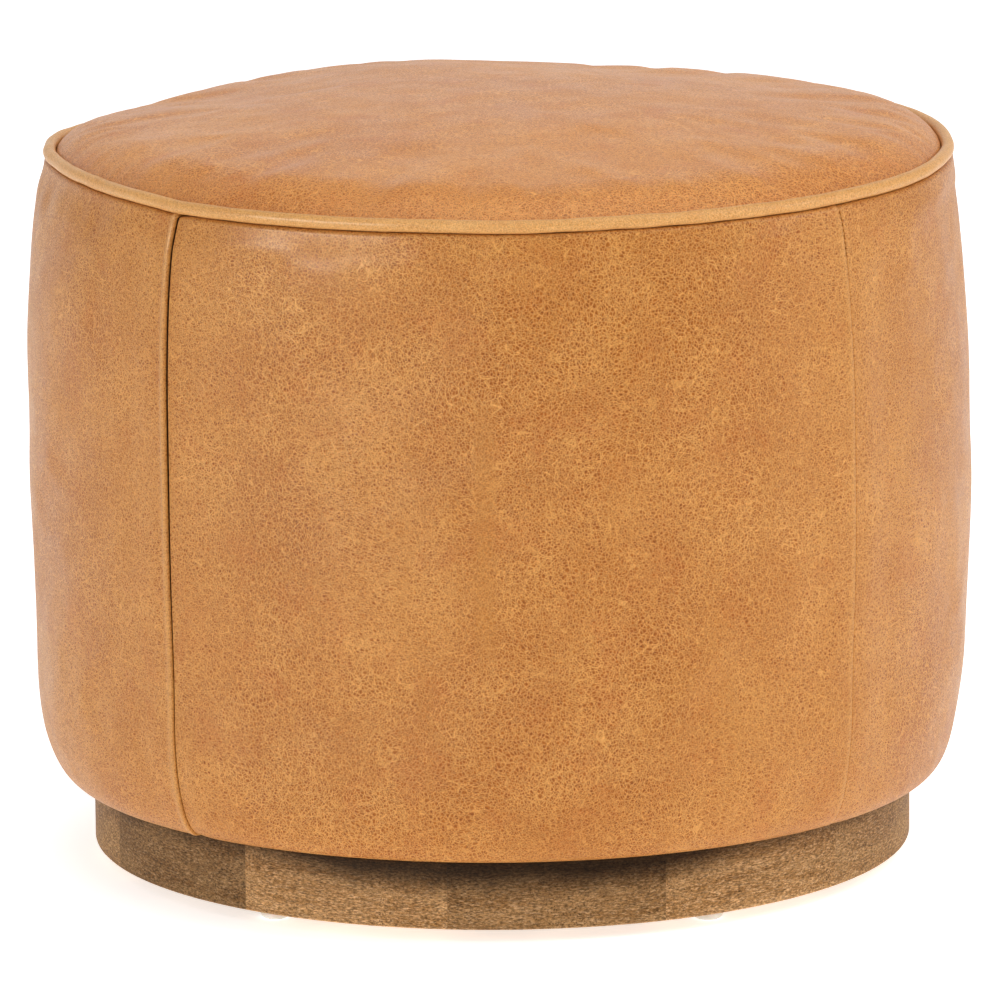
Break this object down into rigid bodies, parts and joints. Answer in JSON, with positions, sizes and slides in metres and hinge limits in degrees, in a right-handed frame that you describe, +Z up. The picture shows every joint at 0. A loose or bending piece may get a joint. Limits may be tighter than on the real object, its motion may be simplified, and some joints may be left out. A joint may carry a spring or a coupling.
{
  "type": "round leather ottoman",
  "caption": "Round upholstered leather ottoman with a crowned, welted seat, plain wall panels and a recessed ring plinth of wood blocks on small glides.",
  "frame": {"origin": "on the floor under the middle of the ottoman", "axes": "+Z up, -Y towards the front panel, +X to the right as seen from the front"},
  "size_m": [0.584, 0.584, 0.4766],
  "materials": {
    "leather": "satin",
    "welt_leather": "satin",
    "piping_cord": "matte",
    "sewing_thread": "matte",
    "wadding": "matte",
    "foam": "matte",
    "black_cloth": "matte",
    "webbing": "matte",
    "plywood": "matte",
    "hardboard": "matte",
    "pine": "matte",
    "plinth_wood": "satin",
    "glide_plastic": "satin",
    "steel_fasteners": "satin"
  },
  "bodies": {
    "root": {"bottom_deck": "plywood", "deck_screws": "steel_fasteners", "dust_cover": "black_cloth", "dust_cover_staples": "steel_fasteners", "frame_post_1": "pine", "frame_post_2": "pine", "frame_post_3": "pine", "frame_post_4": "pine", "frame_post_5": "pine", "frame_post_6": "pine", "frame_post_7": "pine", "frame_post_8": "pine", "glide_1": "glide_plastic", "glide_2": "glide_plastic", "glide_3": "glide_plastic", "glide_4": "glide_plastic", "glide_5": "glide_plastic", "glide_nails": "steel_fasteners", "hem_staples": "steel_fasteners", "plinth_cleat_1": "pine", "plinth_cleat_2": "pine", "plinth_cleat_3": "pine", "plinth_cleat_4": "pine", "plinth_cleat_5": "pine", "plinth_cleat_6": "pine", "plinth_screws": "steel_fasteners", "plinth_segment_01": "plinth_wood", "plinth_segment_02": "plinth_wood", "plinth_segment_03": "plinth_wood", "plinth_segment_04": "plinth_wood", "plinth_segment_05": "plinth_wood", "plinth_segment_06": "plinth_wood", "plinth_segment_07": "plinth_wood", "plinth_segment_08": "plinth_wood", "plinth_segment_09": "plinth_wood", "plinth_segment_10": "plinth_wood", "plinth_segment_11": "plinth_wood", "plinth_segment_12": "plinth_wood", "side_foam": "foam", "side_panel_back": "leather", "side_panel_front": "leather", "side_panel_left": "leather", "side_panel_right": "leather", "side_seam_thread": "sewing_thread", "side_wadding": "wadding", "top_foam_crown": "foam", "top_foam_slab": "foam", "top_panel": "leather", "top_ring": "plywood", "top_ring_screws": "steel_fasteners", "top_wadding": "wadding", "wall_liner": "hardboard", "webbing_lining": "black_cloth", "webbing_staples": "steel_fasteners", "webbing_straps_across": "webbing", "webbing_straps_lengthwise": "webbing", "welt_cord": "piping_cord", "welt_cover": "welt_leather", "welt_seam_thread": "sewing_thread"}
  },
  "joints": []
}
